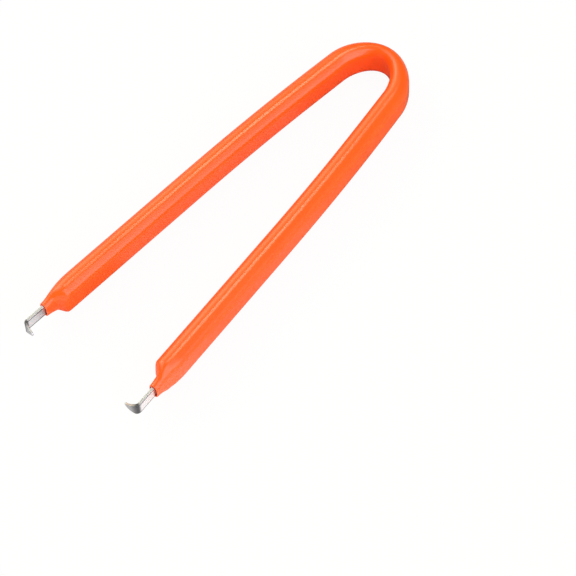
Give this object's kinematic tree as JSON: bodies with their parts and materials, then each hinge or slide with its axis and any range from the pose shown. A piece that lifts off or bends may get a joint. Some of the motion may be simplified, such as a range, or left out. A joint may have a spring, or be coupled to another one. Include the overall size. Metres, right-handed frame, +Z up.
{
  "type": "ic extractor tool",
  "caption": "U-shaped hand tool for lifting chips out of sockets: a sprung steel strip with inward hooked tips in a thick orange vinyl coat",
  "frame": {"origin": "centre of the footprint, on the surface that the tool lies on", "axes": "+X along the tool towards the bend, +Y across the arms, +Z up, across the strip's width"},
  "size_m": [0.1164, 0.038, 0.0094],
  "materials": {
    "spring_steel": "ground, bright",
    "orange_vinyl": "smooth gloss, dipped"
  },
  "bodies": {
    "root": {"spring_strip": "spring_steel", "vinyl_sleeve": "orange_vinyl"}
  },
  "joints": []
}
